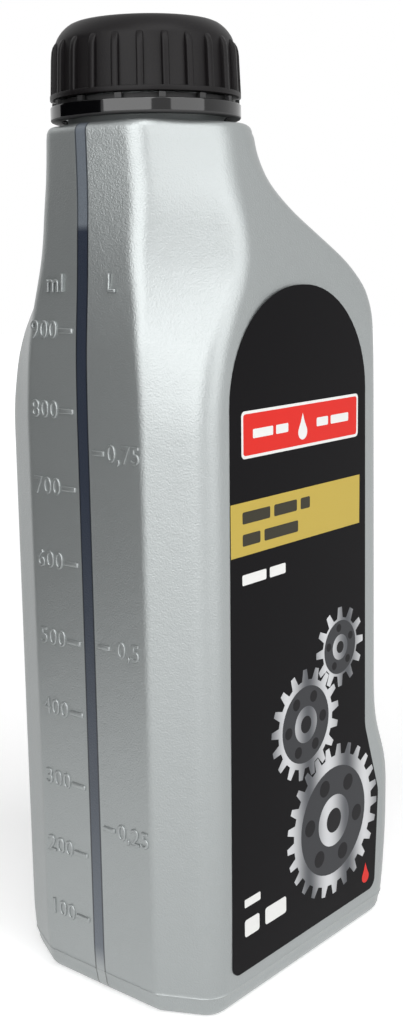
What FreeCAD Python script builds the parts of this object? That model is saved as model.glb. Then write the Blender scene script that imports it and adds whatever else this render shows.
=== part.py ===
import FreeCAD, Part
import math
import os

import Sketcher

# One-litre oil bottle: a flat blown bottle with faceted corners, a hand recess on the
# right narrow side and a neck set to the left. +Z is up, the labelled side faces -Y and
# the side with the level strip faces -X. Millimetres, origin under the middle of the base.

doc = FreeCAD.newDocument("oil_bottle")
sheet = doc.addObject("Spreadsheet::Sheet", "Sizes")

SIZES = {
    # blown body
    "left_reach": 46.65,
    "right_reach": 46.65,
    "half_depth": 33.4,
    "panel_half": 18.9,
    "body_height": 219.2,
    "grip_depth": 8.2,
    "wall": 1.0,
    "floor_lift": 1.2,
    "foot_rim": 7.0,
    "foot_rim_round": 3.0,
    "foot_round": 4.5,
    "collar_round": 2.2,
    # neck
    "neck_inset": 25.25,
    "neck_radius": 18.9,
    "neck_wall": 1.9,
    "neck_rise": 19.3,
    "bead_radius": 20.2,
    "bead_lift": 2.0,
    "bead_height": 1.6,
    # cap, counted from the collar
    "skirt_lift": 6.2,
    "cap_height": 17.5,
    "cap_radius": 23.14,
    "groove_depth": 1.2,
    "lip_height": 1.2,
    "rib_width": 1.7,
    "cap_draft": 0.45,
    "rib_phase": 8.9,
    "rib_root": 0.4,
    "rib_crown": 2.0,
    "rib_crown_in": 0.7,
    "rib_blend": 0.5,
    "cap_slope": 4.7,
    "cap_shoulder_radius": 20.6,
    "cap_shoulder_drop": 2.9,
    "cap_edge_radius": 19.4,
    "cap_edge_drop": 1.0,
    "cap_top_radius": 17.8,
    "cap_plate": 2.9,
    "thread_room": 1.4,
    "liner_inset": 0.3,
    "liner_fit": 0.2,
    # tamper band
    "band_lift": 1.3,
    "band_height": 3.4,
    "band_fit": 0.1,
    "band_collar": 0.9,
    "bridge_width": 1.6,
    "bridge_depth": 1.0,
    "bridge_gap": 0.3,
    "bridge_inset": 0.4,
    # oil and label
    "ullage": 23.6,
    "oil_fit": 0.15,
    "label_thick": 0.2,
    "label_top_gap": 38.2,
    "label_foot": 10.0,
    "label_left_gap": 13.35,
    "label_right_gap": 21.95,
    "label_lean": 1.4,
    "label_corner": 3.0,
    "label_foot_flare": 7.2,
    "label_flare": 8.8,
    "label_flare_lift": 29.0,
    "label_flare_round": 8.0,
    "label_waist_flare": 1.7,
    "label_waist_lift": 50.0,
    "label_waist_round": 12.0,
    "ink": 0.05,
    "wheel_module": 1.6,
    "wheel_side": 13.5,
    "wheel_lift": 27.2,
    # moulded scale
    "tick_rise": 0.35,
    "tick_root": 0.5,
    "tick_height": 2.0,
    "tick_gap": 3.0,
    "tick_length": 4.8,
    "litre_tick_length": 4.0,
}
for row, (alias, value) in enumerate(SIZES.items(), start=1):
    sheet.set("A%d" % row, alias)
    sheet.set("B%d" % row, repr(value))
    sheet.setAlias("B%d" % row, alias)
doc.recompute()


def value_of(expression):
    """Number that a sheet expression gives now."""
    return float(sheet.evalExpression(expression))


def new_body(name):
    body = doc.addObject("PartDesign::Body", name)
    body.Label = name
    return body


def origin_plane(body, role):
    return [item for item in body.Origin.OriginFeatures if item.Role == role][0]


def new_sketch(body, name, role="XY_Plane", lift=None):
    sketch = body.newObject("Sketcher::SketchObject", name)
    sketch.AttachmentSupport = [(origin_plane(body, role), "")]
    sketch.MapMode = "FlatFace"
    if lift is not None:
        sketch.setExpression("AttachmentOffset.Base.z", lift)
    return sketch


def bind(sketch, name, constraint, expression):
    """Add a size to a sketch and tie it to the sheet."""
    index = sketch.addConstraint(constraint)
    sketch.renameConstraint(index, name)
    sketch.setExpression("Constraints." + name, expression)


def corner_frame(points, i, size):
    """Directions along both sides of a corner, half its angle and the arc's reach along them."""
    here = points[i]
    back = (points[i - 1] - here).normalize()
    ahead = (points[(i + 1) % len(points)] - here).normalize()
    half = back.getAngle(ahead) / 2
    return back, ahead, half, size / math.tan(half)


def rounded_outline(sketch, corners):
    """Closed outline of straight sides with a tangent arc at each corner.

    Each corner is (x, y, radius) as sheet expressions: the sharp point where the two
    sides would meet, and the radius that rounds it.
    """
    count = len(corners)
    points = [FreeCAD.Vector(value_of(x), value_of(y), 0) for x, y, _ in corners]
    starts, ends, arcs = [], [], []
    for i, (_, _, radius) in enumerate(corners):
        here, size = points[i], value_of(radius)
        back, ahead, half, reach = corner_frame(points, i, size)
        centre = here + (back + ahead).normalize() * (size / math.sin(half))
        first = here + back * reach
        last = here + ahead * reach
        outward = (here - points[i - 1]).cross(ahead).z > 0
        begin, finish = (first, last) if outward else (last, first)
        begin, finish = begin - centre, finish - centre
        circle = Part.Circle(centre, FreeCAD.Vector(0, 0, 1), size)
        arc = Part.ArcOfCircle(circle, math.atan2(begin.y, begin.x), math.atan2(finish.y, finish.x))
        arcs.append((arc, outward))
        starts.append(last)
        ends.append(first)
    lines = [Part.LineSegment(starts[i], ends[(i + 1) % count]) for i in range(count)]
    sketch.addGeometry(lines, False)
    sketch.addGeometry([arc for arc, _ in arcs], False)
    sketch.addGeometry([Part.Point(p) for p in points], True)
    for i in range(count):
        arc = count + i
        enters, leaves = (1, 2) if arcs[i][1] else (2, 1)
        sketch.addConstraint(Sketcher.Constraint("Tangent", (i - 1) % count, 2, arc, enters))
        sketch.addConstraint(Sketcher.Constraint("Tangent", arc, leaves, i, 1))
    for i, (x, y, radius) in enumerate(corners):
        corner = 2 * count + i
        sketch.addConstraint(Sketcher.Constraint("PointOnObject", corner, 1, i))
        sketch.addConstraint(Sketcher.Constraint("PointOnObject", corner, 1, (i - 1) % count))
        bind(sketch, "across%d" % i,
             Sketcher.Constraint("DistanceX", -1, 1, corner, 1, points[i].x), x)
        bind(sketch, "along%d" % i,
             Sketcher.Constraint("DistanceY", -1, 1, corner, 1, points[i].y), y)
        bind(sketch, "round%d" % i,
             Sketcher.Constraint("Radius", count + i, value_of(radius)), radius)


def closed_profile(sketch, corners):
    """Closed outline of straight sides through (x, y) sheet expressions."""
    count = len(corners)
    points = [FreeCAD.Vector(value_of(x), value_of(y), 0) for x, y in corners]
    for i in range(count):
        sketch.addGeometry(Part.LineSegment(points[i], points[(i + 1) % count]), False)
    for i in range(count):
        sketch.addConstraint(Sketcher.Constraint("Coincident", i, 2, (i + 1) % count, 1))
    for i, (x, y) in enumerate(corners):
        bind(sketch, "across%d" % i, Sketcher.Constraint("DistanceX", -1, 1, i, 1, points[i].x), x)
        bind(sketch, "along%d" % i, Sketcher.Constraint("DistanceY", -1, 1, i, 1, points[i].y), y)


def bevelled_outline(sketch, corners):
    """The same corners cut flat between the ends of their arcs, for the hidden hollow."""
    points = [FreeCAD.Vector(value_of(x), value_of(y), 0) for x, y, _ in corners]
    outline = []
    for i, (x, y, radius) in enumerate(corners):
        back, ahead, _, reach = corner_frame(points, i, value_of(radius))
        for side in (back * reach, ahead * reach):
            outline.append(("%s + %.3f" % (x, side.x), "%s + %.3f" % (y, side.y)))
    closed_profile(sketch, outline)


# Level sections of the blown body, from the base to the collar. Each row holds the share
# of the body height, then as shares of their full sizes the reach of the left panel and
# of its crease, the depth, the reach of the right crease and of the right panel and the
# half widths of both panels, then the share of the hand recess, and the radii in
# millimetres at the panel edges and at the creases.
SECTIONS = [
    (0.000, 0.983, 0.822, 0.976, 0.807, 0.953, 0.979, 0.979, 0.00, 5, 7),
    (0.045, 1.000, 0.844, 0.997, 0.837, 0.974, 1.000, 1.000, 0.00, 5, 7.5),
    (0.120, 1.000, 0.846, 1.000, 0.871, 0.998, 1.000, 1.000, 0.00, 5, 7.5),
    (0.200, 1.000, 0.846, 1.000, 0.871, 1.000, 1.000, 1.000, 0.00, 5, 7.5),
    (0.230, 1.000, 0.846, 1.000, 0.874, 1.000, 1.000, 1.000, 0.22, 5, 7.5),
    (0.266, 1.000, 0.846, 1.000, 0.876, 1.000, 1.000, 1.000, 0.70, 5, 7.5),
    (0.300, 1.000, 0.846, 1.000, 0.876, 1.000, 1.000, 1.000, 0.84, 5, 7.5),
    (0.690, 1.000, 0.839, 1.000, 0.869, 1.000, 1.000, 1.000, 1.00, 5, 7.5),
    (0.755, 0.996, 0.773, 1.000, 0.850, 1.000, 0.963, 1.000, 0.98, 5, 7.5),
    (0.800, 0.981, 0.653, 0.991, 0.841, 1.000, 0.899, 0.974, 1.00, 6, 8),
    (0.835, 0.968, 0.537, 0.973, 0.691, 0.966, 0.820, 0.947, 1.00, 7, 8),
    (0.866, 0.961, 0.498, 0.949, 0.451, 0.867, 0.741, 0.894, 1.00, 8, 8.5),
    (0.893, 0.955, 0.490, 0.910, 0.215, 0.696, 0.741, 0.815, 1.00, 9, 9),
    (0.920, 0.949, 0.481, 0.859, 0.044, 0.511, 0.735, 0.735, 1.00, 10, 10),
    (0.950, 0.949, 0.460, 0.784, -0.042, 0.357, 0.725, 0.661, 1.00, 11.5, 12),
    (1.000, 0.953, 0.443, 0.725, -0.059, 0.280, 0.693, 0.608, 1.00, 13, 14),
]


def section_corners(row, inset):
    """Eight corners of one level section, drawn in all round by the inset expression."""
    (_, left_share, crease_left_share, depth_share, crease_right_share, right_share,
     left_half_share, right_half_share, grip, edge_round, crease_round) = row
    left = "Sizes.left_reach * %g" % left_share
    crease_left = "Sizes.left_reach * %g" % crease_left_share
    depth = "Sizes.half_depth * %g" % depth_share
    crease_right = "Sizes.right_reach * %g - Sizes.grip_depth * %g" % (crease_right_share, grip)
    right = "Sizes.right_reach * %g - Sizes.grip_depth * %g" % (right_share, grip)
    left_half = "Sizes.panel_half * %g" % left_half_share
    right_half = "Sizes.panel_half * %g" % right_half_share
    # an inset moves each corner along both its sides by the tangent of half its turn
    rise_left = value_of(depth) - value_of(left_half)
    run_left = value_of(left) - value_of(crease_left)
    turn_left = math.atan2(run_left, rise_left)
    rise_right = value_of(depth) - value_of(right_half)
    run_right = value_of(right) - value_of(crease_right)
    turn_right = math.atan2(run_right, rise_right)
    edge_l, crease_l = math.tan(turn_left / 2), math.tan(math.pi / 4 - turn_left / 2)
    edge_r, crease_r = math.tan(turn_right / 2), math.tan(math.pi / 4 - turn_right / 2)
    x_left = "-(%s - %s)" % (left, inset)
    x_crease_left = "-(%s - %s * %.4f)" % (crease_left, inset, crease_l)
    x_crease_right = "%s - %s * %.4f" % (crease_right, inset, crease_r)
    x_right = "%s - %s" % (right, inset)
    y_left = "%s - %s * %.4f" % (left_half, inset, edge_l)
    y_right = "%s - %s * %.4f" % (right_half, inset, edge_r)
    y_front = "%s - %s" % (depth, inset)
    edge = "%g - %s" % (edge_round, inset)
    crease = "%g - %s" % (crease_round, inset)
    front = [(x_left, "-(%s)" % y_left, edge), (x_crease_left, "-(%s)" % y_front, crease),
             (x_crease_right, "-(%s)" % y_front, crease), (x_right, "-(%s)" % y_right, edge)]
    back = [(x, y[2:-1], radius) for x, y, radius in reversed(front)]
    return front + back


def section_loft(body, name, kind, levels, draw=rounded_outline):
    """Ruled loft through (height, row, inset) levels, upwards."""
    sketches = []
    for i, (lift, row, inset) in enumerate(levels):
        sketch = new_sketch(body, "%s_%02d" % (name, i), lift=lift)
        draw(sketch, section_corners(row, inset))
        sketches.append(sketch)
    doc.recompute()
    loft = body.newObject(kind, name)
    loft.Profile = sketches[0]
    loft.Sections = sketches[1:]
    loft.Ruled = True
    doc.recompute()
    return loft


def between(rows, inset):
    """Levels of the rows that stand at their own share of the body height."""
    return [("Sizes.body_height * %g" % row[0], row, inset) for row in rows]


def turned(body, name, kind, corners, shift=None):
    """Full turn of a half profile of (radius, height) corners about the upright axis."""
    sketch = new_sketch(body, name + "_profile", role="XZ_Plane")
    if shift is not None:
        sketch.setExpression("AttachmentOffset.Base.x", shift)
    closed_profile(sketch, corners)
    doc.recompute()
    feature = body.newObject(kind, name)
    feature.Profile = sketch
    feature.ReferenceAxis = (sketch, ["V_Axis"])
    feature.Angle = 360
    doc.recompute()


def ring_of(body, name, feature, count):
    """Copies of a feature set evenly round the upright axis."""
    pattern = body.newObject("PartDesign::PolarPattern", name)
    pattern.Originals = [feature]
    pattern.Axis = (origin_plane(body, "Z_Axis"), [""])
    pattern.Angle = 360
    pattern.Occurrences = count
    body.Tip = pattern
    doc.recompute()


def placed_on_neck(body, lift):
    """Stand a body on the neck axis at a height."""
    body.setExpression("Placement.Base.x", NECK_X)
    body.setExpression("Placement.Base.z", lift)


# Bottle: one blown hollow piece with its neck, bead and hollow foot.
# The foot and the collar edge are rounded by levels at 45 degrees of a quarter circle.
FOOT_ROW, COLLAR_ROW = SECTIONS[0], SECTIONS[-1]
EASE = 1 - math.cos(math.pi / 4)
bottle = new_body("bottle")
section_loft(bottle, "shell", "PartDesign::AdditiveLoft", [
    ("0", FOOT_ROW, "Sizes.foot_round"),
    ("Sizes.foot_round * %.3f" % EASE, FOOT_ROW, "(Sizes.foot_round * %.3f)" % EASE),
    ("Sizes.foot_round", FOOT_ROW, "0"),
] + between(SECTIONS[1:-1], "0") + [
    ("Sizes.body_height - Sizes.collar_round", COLLAR_ROW, "0"),
    ("Sizes.body_height - Sizes.collar_round * %.3f" % EASE, COLLAR_ROW,
     "(Sizes.collar_round * %.3f)" % EASE),
    ("Sizes.body_height", COLLAR_ROW, "Sizes.collar_round"),
])
NECK_X = "Sizes.neck_inset - Sizes.left_reach"
NECK_TOP = "Sizes.body_height + Sizes.neck_rise"
BEAD_LOW = "Sizes.body_height + Sizes.bead_lift"
BEAD_HIGH = BEAD_LOW + " + Sizes.bead_height"
turned(bottle, "neck", "PartDesign::Revolution", [
    ("0", "Sizes.body_height - Sizes.wall"),
    ("Sizes.neck_radius", "Sizes.body_height - Sizes.wall"),
    ("Sizes.neck_radius", BEAD_LOW),
    ("Sizes.bead_radius", BEAD_LOW),
    ("Sizes.bead_radius", BEAD_HIGH),
    ("Sizes.neck_radius", BEAD_HIGH),
    ("Sizes.neck_radius", NECK_TOP),
    ("0", NECK_TOP),
], shift=NECK_X)
FLOOR = "Sizes.floor_lift + Sizes.wall"


def inside(inset, floor):
    """Levels of the hollow, drawn in from the outside and raised from the foot."""
    low = "(%s + Sizes.foot_round * 0.4)" % inset
    middle = [SECTIONS[i] for i in (3, 4, 5, 6, 8, 10, 12, 13, 14)]
    return ([(floor, FOOT_ROW, low), ("Sizes.foot_round + Sizes.wall", FOOT_ROW, inset)]
            + between(middle, inset)
            + [("Sizes.body_height - %s" % inset, COLLAR_ROW, inset)])


section_loft(bottle, "cavity", "PartDesign::SubtractiveLoft", inside("Sizes.wall", FLOOR),
             bevelled_outline)
turned(bottle, "bore", "PartDesign::Groove", [
    ("0", "Sizes.body_height - 2 * Sizes.wall"),
    ("Sizes.neck_radius - Sizes.neck_wall", "Sizes.body_height - 2 * Sizes.wall"),
    ("Sizes.neck_radius - Sizes.neck_wall", NECK_TOP),
    ("0", NECK_TOP),
], shift=NECK_X)
foot = new_sketch(bottle, "foot_outline")
FOOT = section_corners(SECTIONS[0], "Sizes.foot_rim")
rounded_outline(foot, [(x, y, "Sizes.foot_rim_round") for x, y, _ in FOOT])
doc.recompute()
hollow_foot = bottle.newObject("PartDesign::Pocket", "hollow_foot")
hollow_foot.Profile = foot
hollow_foot.Reversed = True
hollow_foot.setExpression("Length", "Sizes.floor_lift")
doc.recompute()

# The moulded scale: raised ticks beside the strip, at the heights where the hollow holds
# 100 to 900 ml on one side and a quarter, a half and three quarters of a litre on the other.
ML_SHARES = (0.089, 0.170, 0.255, 0.343, 0.428, 0.520, 0.606, 0.693, 0.781)
LITRE_SHARES = (0.214, 0.431, 0.650)


def rectangle(sketch, name, across, along):
    """Closed rectangle between two (low, high) pairs of sheet expressions."""
    first = sketch.GeometryCount
    corners = [(across[0], along[0]), (across[1], along[0]), (across[1], along[1]), (across[0], along[1])]
    points = [FreeCAD.Vector(value_of(x), value_of(y), 0) for x, y in corners]
    for i in range(4):
        sketch.addGeometry(Part.LineSegment(points[i], points[(i + 1) % 4]), False)
    for i in range(4):
        sketch.addConstraint(Sketcher.Constraint("Coincident", first + i, 2, first + (i + 1) % 4, 1))
        kind = "Horizontal" if i % 2 == 0 else "Vertical"
        sketch.addConstraint(Sketcher.Constraint(kind, first + i))
    for corner, (x, y) in ((0, corners[0]), (2, corners[2])):
        place = points[corner]
        bind(sketch, "%s_across%d" % (name, corner),
             Sketcher.Constraint("DistanceX", -1, 1, first + corner, 1, place.x), x)
        bind(sketch, "%s_along%d" % (name, corner),
             Sketcher.Constraint("DistanceY", -1, 1, first + corner, 1, place.y), y)


def ticks(name, reach, shares, near, far):
    """Raised bars on the left panel between two distances from the strip's middle."""
    sketch = new_sketch(bottle, name + "_outline", role="YZ_Plane",
                        lift="-(%s) - Sizes.tick_rise" % reach)
    for i, share in enumerate(shares):
        middle = "Sizes.body_height * %g" % share
        rectangle(sketch, "tick%d" % i, (near, far),
                  (middle + " - Sizes.tick_height / 2", middle + " + Sizes.tick_height / 2"))
    doc.recompute()
    bars = bottle.newObject("PartDesign::Pad", name)
    bars.Profile = sketch
    bars.setExpression("Length", "Sizes.tick_rise + Sizes.tick_root")
    doc.recompute()


REACH = "Sizes.left_reach"
FAR = "Sizes.tick_gap + Sizes.tick_length"
ticks("ml_ticks", REACH, ML_SHARES[:-1], "Sizes.tick_gap", FAR)
ticks("top_ml_tick", REACH + " * 0.987", ML_SHARES[-1:], "Sizes.tick_gap", FAR)
ticks("litre_ticks", REACH, LITRE_SHARES, "-(Sizes.tick_gap + Sizes.litre_tick_length)", "-Sizes.tick_gap")

# Oil: fills the bottle to the level seen in the strip, a hair clear of the walls.
oil = new_body("oil_fill")
section_loft(oil, "fill", "PartDesign::AdditiveLoft",
             inside("(Sizes.wall + Sizes.oil_fit)", FLOOR + " + Sizes.oil_fit"), bevelled_outline)
surface = new_sketch(oil, "oil_surface", lift="Sizes.body_height - Sizes.ullage")
closed_profile(surface, [
    ("-Sizes.left_reach", "-Sizes.half_depth"),
    ("Sizes.right_reach", "-Sizes.half_depth"),
    ("Sizes.right_reach", "Sizes.half_depth"),
    ("-Sizes.left_reach", "Sizes.half_depth"),
])
doc.recompute()
headspace = oil.newObject("PartDesign::Pocket", "headspace")
headspace.Profile = surface
headspace.Reversed = True
headspace.setExpression("Length", "Sizes.ullage")
doc.recompute()

# Screw cap: a tapered skirt with a plain lip, upright ribs whose tops round off into the
# shoulder, and a domed shoulder to a flat top.
cap = new_body("screw_cap")
GROOVE = "Sizes.cap_radius - Sizes.groove_depth"
SLOPE = "Sizes.cap_height - Sizes.cap_slope"
INSIDE = "Sizes.neck_radius + Sizes.thread_room"
PLATE = "Sizes.cap_height - Sizes.cap_plate"
turned(cap, "cap_shell", "PartDesign::Revolution", [
    (INSIDE, "0"),
    ("Sizes.cap_radius", "0"),
    ("Sizes.cap_radius", "Sizes.lip_height"),
    (GROOVE, "Sizes.lip_height"),
    (GROOVE + " - Sizes.cap_draft", SLOPE),
    ("Sizes.cap_shoulder_radius", "Sizes.cap_height - Sizes.cap_shoulder_drop"),
    ("Sizes.cap_edge_radius", "Sizes.cap_height - Sizes.cap_edge_drop"),
    ("Sizes.cap_top_radius", "Sizes.cap_height"),
    ("0", "Sizes.cap_height"),
    ("0", PLATE),
    ("Sizes.neck_radius - Sizes.liner_inset + Sizes.liner_fit", PLATE),
    (INSIDE, SLOPE),
])
RIB_ROOT = INSIDE + " + Sizes.rib_root"
RIB_TOP = "Sizes.cap_height - Sizes.cap_shoulder_drop - Sizes.rib_blend"
rib_side = new_sketch(cap, "rib_side", role="XZ_Plane")
closed_profile(rib_side, [
    (RIB_ROOT, "Sizes.lip_height / 2"),
    ("Sizes.cap_radius", "Sizes.lip_height / 2"),
    ("Sizes.cap_radius", "Sizes.lip_height"),
    ("Sizes.cap_radius - Sizes.cap_draft", SLOPE + " - Sizes.rib_crown"),
    ("Sizes.cap_radius - Sizes.cap_draft - Sizes.rib_crown_in", SLOPE),
    ("Sizes.cap_shoulder_radius + Sizes.rib_root", RIB_TOP),
    (RIB_ROOT, RIB_TOP),
])
doc.recompute()
rib = cap.newObject("PartDesign::Pad", "rib")
rib.Profile = rib_side
rib.Midplane = True
rib.setExpression("Length", "Sizes.rib_width")
doc.recompute()
ring_of(cap, "ribs", rib, 24)
placed_on_neck(cap, "Sizes.body_height + Sizes.skirt_lift")
cap.setExpression("Placement.Rotation.Angle", "Sizes.rib_phase * 1 deg")

# Sealing liner: a round wad pressed between the rim of the neck and the cap.
liner = new_body("cap_liner")
disc = new_sketch(liner, "liner_outline")
LINER_RADIUS = "Sizes.neck_radius - Sizes.liner_inset"
UPWARD = FreeCAD.Vector(0, 0, 1)
disc.addGeometry(Part.Circle(FreeCAD.Vector(0, 0, 0), UPWARD, value_of(LINER_RADIUS)), False)
disc.addConstraint(Sketcher.Constraint("Coincident", 0, 3, -1, 1))
bind(disc, "liner_size", Sketcher.Constraint("Radius", 0, value_of(LINER_RADIUS)), LINER_RADIUS)
doc.recompute()
wad = liner.newObject("PartDesign::Pad", "wad")
wad.Profile = disc
wad.setExpression("Length", "Sizes.skirt_lift + %s - Sizes.neck_rise" % PLATE)
doc.recompute()
placed_on_neck(liner, NECK_TOP)

# Tamper band: the ring left on the neck bead, with a thin inner collar and, outside it,
# the stubs of its bridges.
band = new_body("tamper_band")
BAND_INSIDE = "Sizes.bead_radius + Sizes.band_fit"
STUB_HEIGHT = "Sizes.skirt_lift - Sizes.band_lift - Sizes.band_height - Sizes.bridge_gap"
turned(band, "ring", "PartDesign::Revolution", [
    (BAND_INSIDE, "0"),
    ("Sizes.cap_radius", "0"),
    ("Sizes.cap_radius", "Sizes.band_height"),
    (BAND_INSIDE + " + Sizes.band_collar", "Sizes.band_height"),
    (BAND_INSIDE + " + Sizes.band_collar", "Sizes.band_height + " + STUB_HEIGHT),
    (BAND_INSIDE, "Sizes.band_height + " + STUB_HEIGHT),
])
STUB_OUTSIDE = "Sizes.cap_radius - Sizes.bridge_inset"
bridge_foot = new_sketch(band, "bridge_foot", lift="Sizes.band_height")
closed_profile(bridge_foot, [
    (STUB_OUTSIDE + " - Sizes.bridge_depth", "-Sizes.bridge_width / 2"),
    (STUB_OUTSIDE, "-Sizes.bridge_width / 2"),
    (STUB_OUTSIDE, "Sizes.bridge_width / 2"),
    (STUB_OUTSIDE + " - Sizes.bridge_depth", "Sizes.bridge_width / 2"),
])
doc.recompute()
bridge = band.newObject("PartDesign::Pad", "bridge")
bridge.Profile = bridge_foot
bridge.setExpression("Length", STUB_HEIGHT)
doc.recompute()
ring_of(band, "bridges", bridge, 14)
placed_on_neck(band, "Sizes.body_height + Sizes.band_lift")

# Front label: a thin sheet with an arched top and a foot that flares to the right.
label = new_body("front_label")
LEFT_SIDE = "Sizes.label_left_gap - Sizes.left_reach"
RIGHT_SIDE = "Sizes.right_reach - Sizes.label_right_gap"
LABEL_TOP = "Sizes.body_height - Sizes.label_top_gap"
ARCH = "(%s - (%s)) * 0.48" % (RIGHT_SIDE, LEFT_SIDE)
outline = new_sketch(label, "label_outline", role="XZ_Plane", lift="Sizes.half_depth")
rounded_outline(outline, [
    (LEFT_SIDE, "Sizes.label_foot", "Sizes.label_corner"),
    (RIGHT_SIDE + " + Sizes.label_foot_flare", "Sizes.label_foot", "Sizes.label_corner"),
    (RIGHT_SIDE + " + Sizes.label_flare", "Sizes.label_foot + Sizes.label_flare_lift",
     "Sizes.label_flare_round"),
    (RIGHT_SIDE + " + Sizes.label_waist_flare", "Sizes.label_foot + Sizes.label_waist_lift",
     "Sizes.label_waist_round"),
    (RIGHT_SIDE, LABEL_TOP, ARCH),
    (LEFT_SIDE + " + Sizes.label_lean", LABEL_TOP, ARCH),
])
doc.recompute()
sheet_of_label = label.newObject("PartDesign::Pad", "label_sheet")
sheet_of_label.Profile = outline
sheet_of_label.setExpression("Length", "Sizes.label_thick")
doc.recompute()

# The label's print in plain fields of ink: a band, a panel above it and three wheels that
# meet at their pitch circles. Each field holds its gaps to the label's left and right
# sides and its foot and top as shares of the label's height.
FIELDS = {
    "band": (1.0, 2.1, 0.630, 0.706),
    "panel": (5.4, 3.1, 0.766, 0.832),
}
WHEEL_TEETH = (25, 17, 12)
WHEEL_BEARINGS = (112.8, 47.7)
LABEL_HEIGHT = "(%s - Sizes.label_foot)" % LABEL_TOP
fields = new_sketch(label, "print_fields", role="XZ_Plane", lift="Sizes.half_depth + Sizes.label_thick")
for name, (left_gap, right_gap, foot_share, top_share) in FIELDS.items():
    rectangle(fields, name, (LEFT_SIDE + " + %g" % left_gap, RIGHT_SIDE + " - %g" % right_gap),
              ("Sizes.label_foot + %s * %g" % (LABEL_HEIGHT, foot_share),
               "Sizes.label_foot + %s * %g" % (LABEL_HEIGHT, top_share)))
middle_x = RIGHT_SIDE + " - Sizes.wheel_side"
middle_z = "Sizes.label_foot + Sizes.wheel_lift"
for i, teeth in enumerate(WHEEL_TEETH):
    if i:
        step = (WHEEL_TEETH[i - 1] + teeth) / 2
        bearing = math.radians(WHEEL_BEARINGS[i - 1])
        middle_x += " + Sizes.wheel_module * %.3f" % (step * math.cos(bearing))
        middle_z += " + Sizes.wheel_module * %.3f" % (step * math.sin(bearing))
    radius = "Sizes.wheel_module * %g - Sizes.ink" % (teeth / 2)
    place = FreeCAD.Vector(value_of(middle_x), value_of(middle_z), 0)
    circle = Part.Circle(place, UPWARD, value_of(radius))
    wheel = fields.addGeometry(circle, False)
    bind(fields, "wheel%d_across" % i,
         Sketcher.Constraint("DistanceX", -1, 1, wheel, 3, place.x), middle_x)
    bind(fields, "wheel%d_up" % i, Sketcher.Constraint("DistanceY", -1, 1, wheel, 3, place.y), middle_z)
    bind(fields, "wheel%d_size" % i, Sketcher.Constraint("Radius", wheel, circle.Radius), radius)
doc.recompute()
print_layer = label.newObject("PartDesign::Pad", "print_layer")
print_layer.Profile = fields
print_layer.setExpression("Length", "Sizes.ink")
doc.recompute()

os.makedirs("parts", exist_ok=True)
for item in doc.Objects:
    if "Invalid" in item.State or "Error" in item.State:
        raise RuntimeError("%s did not build: %s" % (item.Name, item.State))
for body in (bottle, oil, cap, liner, band, label):
    if body.Shape.isNull() or not body.Shape.isValid() or len(body.Shape.Solids) != 1:
        raise RuntimeError("%s has no sound solid" % body.Label)
    body.Shape.exportStep(os.path.join("parts", body.Label + ".step"))
    box = body.Shape.BoundBox
    print("%-12s %9.1f mm3  x %.2f %.2f  y %.2f %.2f  z %.2f %.2f" % (
        body.Label, body.Shape.Volume, box.XMin, box.XMax, box.YMin, box.YMax, box.ZMin, box.ZMax))
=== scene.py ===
import math

import bmesh
import bpy
import numpy as np
from mathutils import Matrix, Vector


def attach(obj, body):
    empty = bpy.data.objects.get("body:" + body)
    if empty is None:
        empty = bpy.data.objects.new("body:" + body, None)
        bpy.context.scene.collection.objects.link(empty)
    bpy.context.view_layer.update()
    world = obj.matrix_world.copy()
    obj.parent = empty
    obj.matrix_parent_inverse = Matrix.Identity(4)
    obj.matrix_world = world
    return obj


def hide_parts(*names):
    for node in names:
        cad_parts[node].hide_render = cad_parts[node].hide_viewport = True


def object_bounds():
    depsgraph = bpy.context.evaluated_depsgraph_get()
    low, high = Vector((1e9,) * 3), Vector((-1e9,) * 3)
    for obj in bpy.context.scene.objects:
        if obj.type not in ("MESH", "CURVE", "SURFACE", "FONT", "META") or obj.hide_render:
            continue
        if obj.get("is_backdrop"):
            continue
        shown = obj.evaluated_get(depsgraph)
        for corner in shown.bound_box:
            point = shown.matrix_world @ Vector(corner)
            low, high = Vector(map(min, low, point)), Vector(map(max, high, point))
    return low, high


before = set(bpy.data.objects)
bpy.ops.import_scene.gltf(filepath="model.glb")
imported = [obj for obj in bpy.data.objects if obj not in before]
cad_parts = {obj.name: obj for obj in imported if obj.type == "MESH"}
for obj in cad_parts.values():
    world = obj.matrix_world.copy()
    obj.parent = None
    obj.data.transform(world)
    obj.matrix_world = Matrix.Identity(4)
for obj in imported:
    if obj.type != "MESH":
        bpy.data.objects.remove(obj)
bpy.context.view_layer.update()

# The bottle: one extrusion-blown shell of silver-grey HDPE, faceted at its corners, with a
# hand recess low on the right side. The mould's sand-blasted wall gives it a fine orange peel.
MM = 0.001


def linear(hex_code):
    """Linear RGBA of an sRGB hex colour."""
    parts = [int(hex_code[i:i + 2], 16) / 255 for i in (0, 2, 4)]
    return [c / 12.92 if c <= 0.04045 else ((c + 0.055) / 1.055) ** 2.4 for c in parts] + [1.0]


def add_node(material, kind, links=None, **settings):
    """A node with its properties and input values set, and its inputs linked from sockets."""
    node = material.node_tree.nodes.new(kind)
    for name, value in settings.items():
        if hasattr(node, name):
            setattr(node, name, value)
        else:
            node.inputs[name.replace("_", " ")].default_value = value
    for name, socket in (links or {}).items():
        material.node_tree.links.new(socket, node.inputs[name])
    return node


def new_material(name, **settings):
    """A material with a Principled shader whose plain inputs are set."""
    material = bpy.data.materials.new(name)
    material.use_nodes = True
    shader = material.node_tree.nodes["Principled BSDF"]
    for key, value in settings.items():
        shader.inputs[key.replace("_", " ")].default_value = value
    return material, shader


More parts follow.
